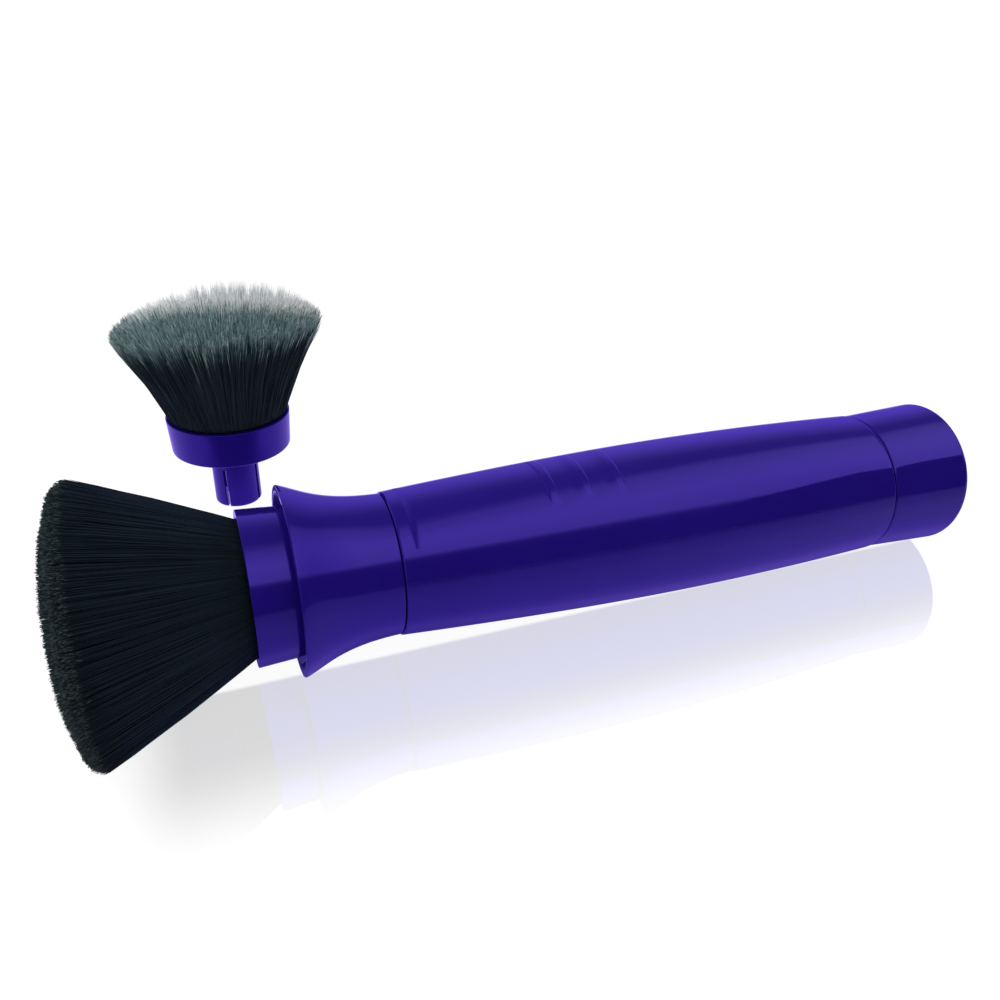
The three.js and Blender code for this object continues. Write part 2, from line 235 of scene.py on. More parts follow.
# --------------------------------------------------------------- shader helpers
class Shader:
    """The node tree of a material or world. A value may be a number, a colour or a socket."""

    def __init__(self, owner, empty=False):
        owner.use_nodes = True
        self.tree = owner.node_tree
        if empty:
            self.tree.nodes.clear()

    def find(self, kind):
        return next(node for node in self.tree.nodes if node.type == kind)

    def feed(self, node, inputs):
        for key, value in inputs.items():
            socket = node.inputs[key]
            if isinstance(value, (int, float)):
                socket.default_value = value
            elif isinstance(value, tuple):
                socket.default_value = (*value, 1) if socket.type == "RGBA" else value
            else:
                self.tree.links.new(value, socket)

    def add(self, kind, inputs=None, **settings):
        node = self.tree.nodes.new("ShaderNode" + kind)
        for key, value in settings.items():
            setattr(node, key, value)
        self.feed(node, inputs or {})
        return node

    def math(self, operation, a, b=None, clamp=False):
        inputs = {0: a} if b is None else {0: a, 1: b}
        return self.add("Math", inputs, operation=operation, use_clamp=clamp).outputs[0]

    def mix(self, factor, a, b, blend="MIX"):
        node = self.add("Mix", data_type="RGBA", blend_type=blend)
        self.feed(node, {0: factor, 6: a, 7: b})
        return node.outputs[2]

    def mix_float(self, factor, a, b):
        node = self.add("Mix", data_type="FLOAT")
        self.feed(node, {0: factor, 2: a, 3: b})
        return node.outputs[0]

    def tint(self, factor, colour, filter_colour):
        return self.mix(factor, colour, self.mix(1.0, colour, filter_colour, "MULTIPLY"))

    def noise(self, vector, scale, detail):
        inputs = {"Vector": vector, "Scale": scale, "Detail": detail}
        return self.add("TexNoise", inputs).outputs[0]

    def ramp(self, value, stops, interpolation="LINEAR"):
        """stops are (position, colour) pairs"""
        node = self.add("ValToRGB", {0: value})
        node.color_ramp.interpolation = interpolation
        elements = node.color_ramp.elements
        for i, (position, colour) in enumerate(stops):
            element = elements[i] if i < 2 else elements.new(position)
            element.position = position
            element.color = (*colour, 1)
        return node.outputs[0]

    def map_range(self, value, from_low, from_high, to_low, to_high, interpolation="LINEAR"):
        node = self.add("MapRange", interpolation_type=interpolation)
        self.feed(node, dict(enumerate((value, from_low, from_high, to_low, to_high))))
        return node.outputs[0]

    def slide(self, value, zero_at, one_at):
        """0 on zero_at's side, 1 on one_at's side, smooth between."""
        if zero_at < one_at:
            return self.map_range(value, zero_at, one_at, 0.0, 1.0, "SMOOTHSTEP")
        return self.map_range(value, one_at, zero_at, 1.0, 0.0, "SMOOTHSTEP")

    def soft_gloss(self):
        """1 for rays mirrored by rough gloss, 0 for any other ray; and the light path node."""
        path = self.add("LightPath")
        rough = self.math("SUBTRACT", 1.0, path.outputs["Is Singular Ray"])
        return self.math("MULTIPLY", path.outputs["Is Glossy Ray"], rough), path


# -------------------------------------------------------------------- materials
def plastic(name, base, lift=(0.019, 0.008, 0.22), rough=0.08):
    """Glossy moulded plastic: swirls of colour (base to lift), waviness, hairlines and specks."""
    material = bpy.data.materials.new(name)
    shader = Shader(material)
    principled = shader.find("BSDF_PRINCIPLED")
    place = shader.add("TexCoord").outputs["Object"]

    def above(value, threshold, gain):
        return shader.math("MULTIPLY", shader.math("SUBTRACT", value, threshold, clamp=True), gain)

    swirl = shader.noise(place, scale=60, detail=3)
    fine = shader.noise(place, scale=420, detail=2)
    tone = above(swirl, threshold=0.38, gain=0.75)
    tone = shader.math("ADD", tone, above(fine, threshold=0.5, gain=0.3))

    # hairlines along the handle: noise stretched along X
    stretch = shader.add("Mapping", {"Vector": place, "Scale": (26, 760, 760)})
    hairlines = shader.noise(stretch.outputs[0], scale=1, detail=4)
    gloss = shader.math("ADD", shader.math("MULTIPLY", hairlines, 0.05), rough - 0.03)
    gloss = shader.math("ADD", gloss, above(swirl, threshold=0.5, gain=0.1))

    # bump distances are in metres
    waves = shader.add("Bump", {"Strength": 1.0, "Distance": 0.00005,
                                "Height": shader.noise(place, scale=85, detail=1)})
    specks = shader.add("Bump", {"Strength": 0.5, "Distance": 0.000003,
                                 "Height": shader.noise(place, scale=2400, detail=2),
                                 "Normal": waves.outputs[0]})
    shader.feed(principled, {
        "Base Color": shader.mix(tone, base, lift), "Roughness": gloss,
        "Normal": specks.outputs[0], "IOR": 1.5,
        "Specular IOR Level": 1.0, "Specular Tint": (0.32, 0.2, 1.0)})
    material.diffuse_color = (*base, 1)
    return material


def bristle(name, stops, spread, tone_low, painted_pale_stops=None, rough=0.5):
    """Colour by the filament's own UV: V runs root to tip, U is a number of the filament's own.

    spread shifts the stops from one filament to the next; tone_low is the darkest filter.
    """
    material = bpy.data.materials.new(name)
    shader = Shader(material)
    uv = shader.add("UVMap", uv_map="OFBake").outputs[0]
    split = shader.add("SeparateXYZ", {0: uv})
    u, v = split.outputs[0], split.outputs[1]

    def strand_number():
        return shader.math("FLOOR", shader.math("MULTIPLY", u, 256))

    def white_noise(seed):
        node = shader.add("TexWhiteNoise", noise_dimensions="1D")
        shader.feed(node, {"W": seed})
        return node.outputs["Value"]

    centred = shader.math("SUBTRACT", white_noise(strand_number()), 0.5)
    shift = shader.math("MULTIPLY", centred, spread)
    colour = shader.ramp(shader.math("ADD", v, shift, clamp=True), stops, "EASE")
    if painted_pale_stops:
        # filament numbers over 0.5 belong to the pale-tipped ones; their pale tips are painted
        # light
        small_shift = shader.math("MULTIPLY", shift, 0.45)
        pale = shader.ramp(shader.math("ADD", v, small_shift, clamp=True), painted_pale_stops, "EASE")
        colour = shader.mix(shader.math("GREATER_THAN", u, 0.5), colour, pale)
    vary = white_noise(shader.math("ADD", strand_number(), 700.0))
    shader.feed(shader.find("BSDF_PRINCIPLED"), {
        "Base Color": shader.tint(shader.math("MULTIPLY", vary, 0.7), colour, tone_low),
        "Roughness": shader.math("ADD", shader.math("MULTIPLY", vary, 0.14), rough - 0.07),
        "Specular IOR Level": 0.035})
    return material


def glue():
    material = bpy.data.materials.new("glue")
    shader = Shader(material)
    cloud = shader.noise(shader.add("TexCoord").outputs["Object"], scale=300, detail=2)
    shader.feed(shader.find("BSDF_PRINCIPLED"), {
        "Base Color": shader.mix(cloud, (0.02, 0.016, 0.012), (0.05, 0.042, 0.03)),
        "Roughness": 0.35})
    return material


PURPLE = (0.0122, 0.0041, 0.165)
handle_plastic = plastic("handle_plastic", PURPLE)
ferrule_plastic = plastic("ferrule_plastic", PURPLE)
socket_plastic = plastic("socket_plastic", base=(0.009, 0.0035, 0.085),
                         lift=(0.015, 0.007, 0.12), rough=0.4)
dark_bristle = bristle(
    "dark_bristle", spread=0.03, tone_low=(0.82, 0.86, 0.88),
    stops=[(0.0, (0.0075, 0.0135, 0.0185)), (0.3, (0.0112, 0.0192, 0.028)),
           (0.84, (0.0115, 0.0202, 0.029)), (0.968, (0.0135, 0.0235, 0.0285)),
           (1.0, (0.085, 0.115, 0.106))])
# grey tips on every filament; the near white tips on the +Y side are painted light
tipped_bristle = bristle(
    "tipped_bristle", spread=0.21, tone_low=(0.5, 0.54, 0.57),
    stops=[(0.0, (0.020, 0.032, 0.036)), (0.60, (0.029, 0.046, 0.054)),
           (0.83, (0.033, 0.052, 0.058)), (0.93, (0.115, 0.178, 0.187)),
           (1.0, (0.375, 0.53, 0.54))],
    painted_pale_stops=[(0.0, (0.020, 0.032, 0.036)), (0.66, (0.03, 0.047, 0.055)),
                (0.82, (0.14, 0.19, 0.195)), (0.9, (0.66, 0.77, 0.77)),
                (0.965, (0.98, 0.985, 0.985))])
glue_material = glue()

# ---------------------------------------------------------------- barrel halves
BARREL_START = BARREL_FRONT - 0.15
BARREL_LENGTH = 113.1
BARREL = spline([   # [distance behind BARREL_START, outer radius]
    [0, 14.518], [9.5, 15.071], [19, 15.58], [28.29, 16.021], [38, 16.408], [47, 16.687],
    [56.57, 16.884], [66, 16.969], [75.5, 16.948], [84.86, 16.83], [94.5, 16.614],
    [104, 16.315], [113.14, 15.953]])
WALL = 1.8
ROLL = math.radians(15)         # the split plane is rolled about the axis
HALF_GAP = 0.035                # from the split plane to each half's edge
EDGE_ROUND = 0.05               # along the split
END_ROUND = 0.45                # at the front and rear ends
END_ZONE = 3                    # finer stations this near the ends
SUPPORT = 0.15                  # from the end rounding to the next station
RIB_X = [RIM_X + 51.94 + 7.2 * k for k in range(3)]
RIB_WIDTH, RIB_HEIGHT = 2.4, 0.28
RIB_FROM, RIB_TO = math.radians(52), math.radians(116)


def rib_height(x, angle):
    """Low bars with flat tops and soft shoulders, whose ends run out into the barrel."""
    barrel_radius, run_out, shoulder = 16.7, 3.6, 0.55
    ends = (smooth01((angle - RIB_FROM) * barrel_radius / run_out)
            * smooth01((RIB_TO - angle) * barrel_radius / run_out))
    height = np.zeros_like(angle)
    for rib in RIB_X:
        across = smooth01((RIB_WIDTH / 2 - np.abs(x - rib)) / shoulder)
        height = np.maximum(height, RIB_HEIGHT * ends * across)
    return height


def shell_stations(upper):
    """x of the cross-sections: close together in the end roundings and at the ribs."""
    rounding = [END_ROUND * (1 - math.cos(k / 8 * math.pi / 2)) for k in range(9)]
    stations = [BARREL_FRONT + d for d in rounding]
    stations += list(np.arange(BARREL_FRONT + END_ROUND + SUPPORT, BARREL_FRONT + END_ZONE, 0.6))
    x = BARREL_FRONT + END_ZONE
    while x < BARREL_REAR - END_ZONE:
        stations.append(x)
        at_rib = min(abs(x - rib) for rib in RIB_X) < 1.7
        x += 0.16 if (at_rib and upper) else 1.2
    stations += list(np.arange(BARREL_REAR - END_ZONE, BARREL_REAR - END_ROUND - SUPPORT, 0.6))
    stations.append(BARREL_REAR - END_ROUND - SUPPORT)
    stations += [BARREL_REAR - d for d in reversed(rounding)]
    return np.array(stations)


def shell_section(x, outer_radius, inner_radius, spread, upper):
    """Closed loop of [u, v] points, v square to the split: outside, edge, inside, other edge."""
    corner_v = HALF_GAP + EDGE_ROUND
    start = math.asin(corner_v / (outer_radius - EDGE_ROUND))
    angle = np.concatenate([[start, start + 0.006],
                            start + spread * (math.pi - 2 * start) / math.pi,
                            [math.pi - start - 0.006, math.pi - start]])
    radius = outer_radius + rib_height(x, angle + ROLL) if upper else outer_radius
    outside = np.stack([radius * np.cos(angle), radius * np.sin(angle)], 1)
    corner_u = (outer_radius - EDGE_ROUND) * math.cos(start)

    def corner(u, first_angle):
        a = first_angle + np.linspace(0, 1, 5)[1:] * (math.pi / 2 + start)
        return np.stack([u + EDGE_ROUND * np.cos(a), corner_v + EDGE_ROUND * np.sin(a)], 1)

    inner_start = math.asin(HALF_GAP / inner_radius)
    share = (angle - angle[0]) / (angle[-1] - angle[0])
    back = (inner_start + share * (math.pi - 2 * inner_start))[::-1]
    inside = np.stack([inner_radius * np.cos(back), inner_radius * np.sin(back)], 1)
    return np.concatenate([outside, corner(-corner_u, math.pi - start), inside,
                           [[corner_u, HALF_GAP]], corner(corner_u, -math.pi / 2)[:-1]])


def half_shell(name, node, upper):
    """Half of the barrel, with round edges all the way round."""
    stations = shell_stations(upper)
    along = stations - BARREL_START
    outer = BARREL(along)
    for end in (BARREL_FRONT, BARREL_REAR):
        depth = np.abs(stations - end)
        arc = np.sqrt(np.maximum(END_ROUND ** 2 - (END_ROUND - depth) ** 2, 0))
        outer = np.where(depth < END_ROUND, outer - (END_ROUND - arc), outer)
    inner = BARREL(np.clip(along, 0, BARREL_LENGTH)) - WALL
    if upper:       # finer where the ribs are
        spread = np.concatenate([np.arange(0.02, 0.62, 0.03), np.arange(0.62, 1.80, 0.0105),
                                 np.arange(1.80, math.pi - 0.03, 0.03)])
    else:
        spread = np.arange(0.02, math.pi - 0.03, 0.024)

    turn = ROLL if upper else ROLL + math.pi
    sine, cosine = math.sin(turn), math.cos(turn)
    sections = []
    for x, outer_radius, inner_radius in zip(stations, outer, inner):
        u, v = shell_section(x, outer_radius, inner_radius, spread, upper).T
        sections.append(np.column_stack([np.full(len(u), x), u * -cosine + v * sine,
                                         u * sine + v * cosine]))
    size = len(sections[0])
    faces = []
    for i in range(len(stations) - 1):
        for j in range(size):
            k = (j + 1) % size
            faces.append((i * size + j, i * size + k, (i + 1) * size + k, (i + 1) * size + j))

    # the two flat ends: quads from the outside to the inside, and a polygon at each edge
    wide = len(spread) + 4
    inside = wide + 4
    end_faces = [(j, j + 1, inside + wide - 2 - j, inside + wide - 1 - j)
                 for j in range(wide - 1)]
    end_faces.append(tuple(range(wide - 1, inside + 1)))
    end_faces.append((*range(inside + wide - 1, size), 0))
    last = (len(stations) - 1) * size
    faces += [face[::-1] for face in end_faces]
    faces += [tuple(last + i for i in face) for face in end_faces]

    ob = face_out(make_mesh(name, np.concatenate(sections), faces, handle_plastic))
    ob.data.set_sharp_from_angle(angle=math.radians(50))
    register(ob, "handle", "handle_plastic", node)


half_shell("barrel_upper", "barrel_upper_shell", upper=True)
half_shell("barrel_lower", "barrel_lower_shell", upper=False)

# ----------------------------------------------------- collar, socket, rear cap
# Profiles are [x, radius, corner radius].
COLLAR = spline([   # [distance behind the rim, outer radius]
    [0, 18.979], [1.2, 18.528], [2.37, 18.04], [4.1, 17.286], [5.92, 16.538], [8.9, 15.581],
    [11.84, 14.946], [15.8, 14.464], [19.73, 14.266]])


def collar():
    """Flared ring with a web that holds the socket and a spigot that goes into the barrel."""
    seam, spigot_end = RIM_X + 19.67, collar_high.x * TO_MM
    flare = [0.75, 1.0, 1.4, *np.linspace(1.9, 19.2, 44)]
    profile = [
        [RIM_X, 18.93, 0.55], *([RIM_X + d, COLLAR(d)] for d in flare),
        [seam, COLLAR(19.58), 0.13], [seam, 12.4, 0.2],
        [spigot_end, 12.4, 0.4], [spigot_end, 11.1, 0.2],
        [WEB_REAR, 11.1, 0.5], [WEB_REAR, 8.2, 0.2],
        [CUP_BASE_X + 0.3, 8.2, 0.2], [CUP_BASE_X + 0.3, 13.4, 0.3],
        [RIM_X + 2.7, 13.5, 0.4], [RIM_X + 2.7, 15.75, 0.5], [RIM_X, 17.55, 0.55]]
    ob = revolve("collar", rounded(profile), handle_plastic, segments=192)
    register(ob, "handle", "handle_plastic", "front_collar")


def socket():
    """Tube round the ferrule's stub, with a flange behind the collar's web."""
    front, rear = socket_low.x * TO_MM, socket_high.x * TO_MM
    flange = WEB_REAR + 0.3
    profile = [
        [front, 6.7, 0.25], [front, 7.9, 0.2], [flange, 7.9, 0.15], [flange, 10.55, 0.2],
        [flange + 1.8, 10.55, 0.2], [flange + 1.8, 7.9, 0.3], [rear, 7.9, 0.25],
        [rear, 6.18, 0.2], [front + 0.6, 6.18, 0.2]]
    ob = revolve("socket", rounded(profile), socket_plastic, segments=128)
    register(ob, "handle", "socket_plastic", "head_socket")


def rear_cap():
    """From the axis inside the end wall, round the plug and the outside, to the flat end."""
    plug, seam = cap_low.x * TO_MM, BARREL_REAR + 0.38
    profile = [
        [-2.2, 0], [-2.2, 12.2, 1.6], [plug, 12.2, 0.2], [plug, 13.85, 0.5],
        [seam, 13.85, 0.15], [seam, 15.69, 0.42], [seam + 6, 15.95], [seam + 13, 16.23],
        [0, 16.52, 1.5], [0, 6.0], [0, 0]]
    ob = revolve("end_cap", rounded(profile, closed=False, steps=10), handle_plastic,
                 closed=False, segments=192)
    register(ob, "cap", "handle_plastic", "rear_cap")


collar()
socket()
rear_cap()


# --------------------------------------------------------------------- ferrules
def ferrule(name, placement, slot_degrees, body, node):
    """Cup on a hollow stub with two crossed slots. Own frame: z = 0 at the cup's base, cup up."""
    profile = [     # [z, radius, corner radius]
        [1.8, 0], [1.8, 13.2, 0.6], [CUP_HEIGHT, 13.8, 0.2], [CUP_HEIGHT, 15.3, 0.16],
        [0, 14.76, 0.45], [0, 5.88, 0.35], [-STUB_LENGTH, 5.88, 0.75],
        [-STUB_LENGTH, 4.3, 0.25], [-0.4, 4.3, 0.8], [-0.4, 0]]
    ob = revolve(name, rounded(profile, closed=False), ferrule_plastic, closed=False,
                 segments=144, axis="Z")
    slot_top, slot_width, cutter_length = -5.2, 0.95, STUB_LENGTH + 4
    cutters = []
    for quarter in (0, 90):
        bpy.ops.mesh.primitive_cube_add(size=1)
        cutter = bpy.context.object
        cutter.scale = (18 * MM, slot_width * MM, cutter_length * MM)
        cutter.location = (0, 0, (slot_top - cutter_length / 2) * MM)
        cutter.rotation_euler = (0, 0, math.radians(slot_degrees + quarter))
        bpy.context.view_layer.update()
        cut = ob.modifiers.new("slot", "BOOLEAN")
        cut.object, cut.operation, cut.solver = cutter, "DIFFERENCE", "EXACT"
        cutters.append(cutter)
    bpy.context.view_layer.update()
    settle(ob)
    for cutter in cutters:
        bpy.data.objects.remove(cutter)
    bevel = ob.modifiers.new("edge", "BEVEL")
    bevel.width, bevel.segments = 0.09 * MM, 2
    bevel.limit_method, bevel.angle_limit = "ANGLE", math.radians(55)
    settle(ob)
    ob.data.polygons.foreach_set("use_smooth", np.ones(len(ob.data.polygons), bool))
    ob.data.set_sharp_from_angle(angle=math.radians(40))
    ob.data.transform(placement)
    register(ob, body, "ferrule_plastic", node)


def moved_to(point):
    return Matrix.Translation(Vector(point) * MM)


cup_to_front = Matrix.Rotation(-math.pi / 2, 4, "Y")    # turns +Z to -X
ferrule("ferrule", moved_to((CUP_BASE_X, 0, 0)) @ cup_to_front, 32,
        "fitted_head", "brush_ferrule")
ferrule("ferrule_spare", moved_to(tuple(SPARE)), -122.5, "spare_head", "spare_ferrule")


# --------------------------------------------------------------------- bristles
def build_strands(name, lines, radii, numbers, lengths, material):
    """Closed three-sided filaments.

    lines: (n, rings, 3) centre lines; radii: (n, rings); numbers: (n,) U of each filament;
    lengths: (n, rings) V along it.
    """
    count, rings, _ = lines.shape
    forward = np.gradient(lines, axis=1)
    forward /= np.linalg.norm(forward, axis=2, keepdims=True)
    side = np.cross(forward, strand_rng.normal(size=(count, 1, 3)))
    side /= np.linalg.norm(side, axis=2, keepdims=True)
    other = np.cross(forward, side)
    angle = (np.arange(3) * 2 * math.pi / 3)[None, None, :, None]
    around = np.cos(angle) * side[:, :, None, :] + np.sin(angle) * other[:, :, None, :]
    verts = (lines[:, :, None, :] + radii[:, :, None, None] * around).reshape(-1, 3)
    shape = (count, rings, 3)
    uv = np.stack([np.broadcast_to(numbers[:, None, None], shape),
                   np.broadcast_to(lengths[:, :, None], shape)], -1).reshape(-1, 2)
    one = []        # faces of one filament
    for i in range(rings - 1):
        for j in range(3):
            a, b = i * 3 + j, i * 3 + (j + 1) % 3
            one += [(a, b, b + 3), (a, b + 3, a + 3)]
    end = (rings - 1) * 3
    one += [(2, 1, 0), (end, end + 1, end + 2)]
    first = (np.arange(count) * rings * 3)[:, None, None]
    return make_mesh(name, verts, (np.array(one)[None] + first).reshape(-1, 3), material, uv=uv)


class Tuft:
    """Filaments leave the glue in a straight bundle and fan out from the cup's mouth.

    Own frame: z out of the cup, z = 0 at its mouth. "share" is a filament's place in the
    bundle, 0 on the axis to 1 outside. "along" is 0 at the mouth, 1 at the tip, below 0 in the
    cup. Each subclass gives:
      seed            of its random draws
      bundle_radius   at the mouth; radius at the tips; limit, the farthest tip in radii
      shift           x, y of the tips' centre
      bow, wave       outward and random bending half way
      locks           number of clumps; pull towards them; lock_step between their heights
      ragged, short   spread of the heights and how far some filaments stop short
      swing           sideways spread of the tips
      outer_count, inner_count   filaments in each batch
      thickness, taper           radius and its factors at TAPER_ALONG
      outer_along     ring places of the outer filaments
      core_inset, core_drop      from the tips to the core's side and top
    """
    TAPER_ALONG = [-1, 0.5, 0.8, 0.93, 1.0]
    glue_depth = 3.4
    lip = 0.0       # how far the outermost filaments bulge over the cup's rim
    early = 0.0     # how much sooner the inner filaments turn to their tip colour
    pale = None     # chance of a tip painted pale, painted light, at x, y

    def __init__(self):
        self.rng = np.random.default_rng(self.seed)
        reach = np.sqrt(self.rng.random(self.locks)) * self.radius
        angle = self.rng.random(self.locks) * 2 * math.pi
        self.lock_centres = np.stack([reach * np.cos(angle), reach * np.sin(angle)], 1)

    def outline(self, angle):
        return 1.0

    def fade(self, x, y):
        return np.zeros_like(x)

    def press(self, points, core=False):
        return points

    def nearest_lock(self, tip):
        """In chunks, to save memory."""
        parts = [tip[k:k + 3000] for k in range(0, len(tip), 3000)]
        centres = self.lock_centres
        return np.concatenate([
            centres[((part[:, None] - centres[None]) ** 2).sum(2).argmin(1)] for part in parts])

    def tips(self, share, angle, jitter):
        outline = self.outline(angle)
        reach = self.radius * share * (1 + jitter[:, 0] * 0.008) * outline
        tip = np.stack([reach * np.cos(angle), reach * np.sin(angle)], 1) + jitter[:, 2:4]
        near = self.nearest_lock(tip)
        radial = tip / (np.linalg.norm(tip, axis=1, keepdims=True) + 1e-6)
        offset = near - tip
        # mostly sideways, so that the outline keeps its place
        offset -= radial * (offset * radial).sum(1, keepdims=True) * 0.7
        tip += offset * (self.pull * (0.4 + 0.8 * np.abs(jitter[:, 4:5])))
        farthest = self.radius * self.limit * outline
        tip *= np.minimum(1.0, farthest / (np.linalg.norm(tip, axis=1) + 1e-6))[:, None]
        # each lock ends a little high or low
        lock_height = np.cos(near[:, 0] * 5.1) * np.sin(near[:, 1] * 4.3)
        z = self.top(tip[:, 0], tip[:, 1], share) + jitter[:, 1] + lock_height * self.lock_step
        return np.column_stack([tip[:, 0] + self.shift[0], tip[:, 1] + self.shift[1], z])

    def paths(self, share, angle, tip, jitter, along):
        s = along[None, :, None]
        side = np.stack([np.cos(angle), np.sin(angle), np.zeros(len(angle))], 1)[:, None]
        root = side * (self.bundle_radius * share)[:, None, None]
        inside = root + np.array([0, 0, 1.0]) * s * self.glue_depth
        bend = 4 * s * (1 - s)
        out = root + (tip[:, None] - root) * s
        out = out + side * bend * (self.bow * share)[:, None, None]
        out = out + jitter[:, None, 4:7] * bend * self.wave
        outermost = (self.lip * smooth01((share - 0.8) / 0.15))[:, None, None]
        bulge = np.clip(s / 0.03, 0, 1) * np.clip((0.4 - s) / 0.37, 0, 1)
        return np.where(s < 0, inside, out + side * outermost * bulge)

    def filaments(self, outer):
        """Centre lines, radii, U and V of one batch."""
        rng = self.rng
        if outer:
            count, along, early = self.outer_count, np.array(self.outer_along), 0
            share = 0.85 + (1.0 - 0.85) * rng.random(count) ** 0.4
        else:
            count, along, early = self.inner_count, np.array([0.55, 0.76, 0.9, 1.0]), self.early
            share = np.sqrt(rng.random(count)) * 0.95
        angle = rng.random(count) * 2 * math.pi
        # columns: radius, height, two of swing, three of waviness
        jitter = np.clip(rng.normal(size=(count, 7)), -2.0, 2.0)
        jitter[:, 1] *= self.ragged
        jitter[:, 1] -= (rng.random(count) < 0.12) * rng.random(count) * self.short
        jitter[:, 2:4] *= self.swing
        fade = self.fade(self.radius * share * np.cos(angle), self.radius * share * np.sin(angle))
        jitter[:, 1] += fade * (1.5 - 6.2 * rng.random(count) ** 0.85)
        tip = self.tips(share, angle, jitter)
        lines = self.paths(share, angle, tip, jitter, along)

        radii = self.thickness * (0.7 + 0.6 * rng.random(count))[:, None]
        radii = radii * np.interp(along, self.TAPER_ALONG, self.taper)[None]
        radii = radii * (1 - 0.55 * fade[:, None] * np.clip((along[None] - 0.5) / 0.5, 0, 1))
        lengths = np.minimum(0.015 + 0.97 * np.clip(along, 0, 1) + early, 0.985)
        numbers = np.floor(rng.random(count) * 128)
        # tips painted pale on the +Y side: painted light
        if self.pale:
            chance = self.pale(tip[:, 0] - self.shift[0], tip[:, 1] - self.shift[1])
            numbers = numbers + 128 * (rng.random(count) < chance)
        lengths = np.broadcast_to(lengths[None], (count, len(along)))
        return lines, radii, (numbers + 0.5) / 256, lengths

    def core(self, name, material):
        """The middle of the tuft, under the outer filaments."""
        segments = 144
        angles = np.arange(segments) / segments * 2 * math.pi
        rows, verts, uvs = [], [], []

        def ring(radius, height, v, fan):
            """fan: 0 in the bundle, 1 at the tips"""
            pole = radius < 1e-6
            angle = angles[:1] if pole else angles
            rows.append([len(verts)] * segments if pole
                        else list(range(len(verts), len(verts) + segments)))
            wobble = 1 + 0.010 * np.sin(angle * 37) + 0.008 * np.sin(angle * 61 + 1)
            if fan > 0.5:
                wobble = wobble * self.outline(angle)
            x, y = radius * wobble * np.cos(angle), radius * wobble * np.sin(angle)
            share = np.full(len(angle), min(radius / self.radius, 1.0))
            verts.extend(zip(x + self.shift[0] * fan, y + self.shift[1] * fan,
                             height(x, y, share)))
            if pole:
                uvs.append((0.25, v))
                return
            # tips painted pale on the core's top: painted light
            is_painted_pale = self.pale(x, y) > 0.5 if self.pale else np.zeros(segments, bool)
            for a, tipped in zip(angle, is_painted_pale):
                u = (int(a * 20.3) % 128 + 0.5) / 256
                uvs.append((u + (0.5 if tipped and fan > 0.9 else 0), v))

        def in_glue(x, y, share):
            return np.full_like(x, -self.glue_depth * 0.5)

        def below_top(x, y, share):
            return self.top(x, y, share) - self.core_drop

        edge = self.radius - self.core_inset
        bottom = self.bundle_radius - 0.5
        for k in (0.0, 0.3, 0.6, 0.85, 1.0):
            ring(bottom * k, in_glue, 0.015, 0)
        for k in np.linspace(0, 1, 20)[:-1]:
            def flank(x, y, share):
                out = edge / np.hypot(x, y)
                return k * below_top(x * out, y * out, share * 0 + edge / self.radius)
            radius = bottom + (edge - bottom) * k - 0.35 * math.sin(math.pi * k)
            ring(radius, flank, 0.015 + 0.86 * k, k)
        for k in (1.0, 0.97, 0.9, 0.8, 0.66, 0.5, 0.33, 0.16, 0.0):
            ring(edge * k, below_top, 0.885, 1.0)
        points = self.place(self.press(np.array(verts, float), core=True))
        return face_out(make_mesh(name, points, bridge(rows), material, uv=np.array(uvs)))

    def build(self, prefix, body, node, slot, material):
        made = []
        for kind, batches in (("outer", 3), ("inner", 2)):
            for k in range(batches):
                lines, *rest = self.filaments(outer=kind == "outer")
                lines = self.place(self.press(lines))
                made.append(build_strands(f"{prefix}_{kind}_{k + 1}", lines, *rest, material))
        made.append(self.core(f"{prefix}_core", material))
        register(made[0], body, slot, node)
        for ob in made[1:]:
            register(ob, body, slot)


class FittedTuft(Tuft):
    """Domed tuft on the brush. Its own z is -X and its own x is +Z."""
    seed = 7
    bundle_radius, radius, limit = 13.3, 26.1, 1.01
    shift = (0.0, -2.8)
    bow, wave = 0.15, 0.13
    locks, pull, lock_step = 900, 0.13, 0.12
    ragged, short, swing = 0.2, 1.0, 0.26
    outer_count, inner_count = 6000, 8500
    thickness, taper = 0.15, [1.0, 1.0, 0.9, 0.7, 0.35]
    outer_along = (-0.35, 0.0, 0.14, 0.5, 0.84, 1.0)
    core_inset, core_drop = 1.1, 1.5
    # [share, height of the tips]
    dome = staticmethod(spline([[0, 34.0], [0.27, 33.6], [0.54, 33.1], [0.77, 31.8], [0.9, 30.5],
                                [0.97, 29.3], [1.0, 27.9]]))

    def top(self, x, y, share):
        return self.dome(np.clip(share, 0, 1))

    def place(self, points):
        return np.stack([MOUTH_X - points[..., 2], points[..., 1], points[..., 0]], -1)

    def press(self, points, core=False):
        """Bends what is under the brush along the table, which falls away towards the tips."""
        x, y, z = points[..., 0], points[..., 1], points[..., 2]
        before_rim = z + RIM_X - MOUTH_X
        table = TABLE_Z - before_rim * math.tan(TILT) + (1.0 if core else 0.16)
        if not core:
            from_axis = np.linalg.norm(points[..., :2], axis=-1)
            table = table + np.clip((27.0 - from_axis) * 0.12, 0, 1.6)
        over = x - table
        softness = 0.4 if core else 0.6
        pressed = table + 0.5 * (over + np.sqrt(over * over + softness))
        # pressed filaments splay sideways and reach a little further
        splay = np.clip((pressed - x) / 8.0, 0, 1)
        return np.stack([np.where(over < 6, pressed, x), y * (1 + 0.2 * splay),
                         z + splay * 0.6 * (z > 0)], -1)


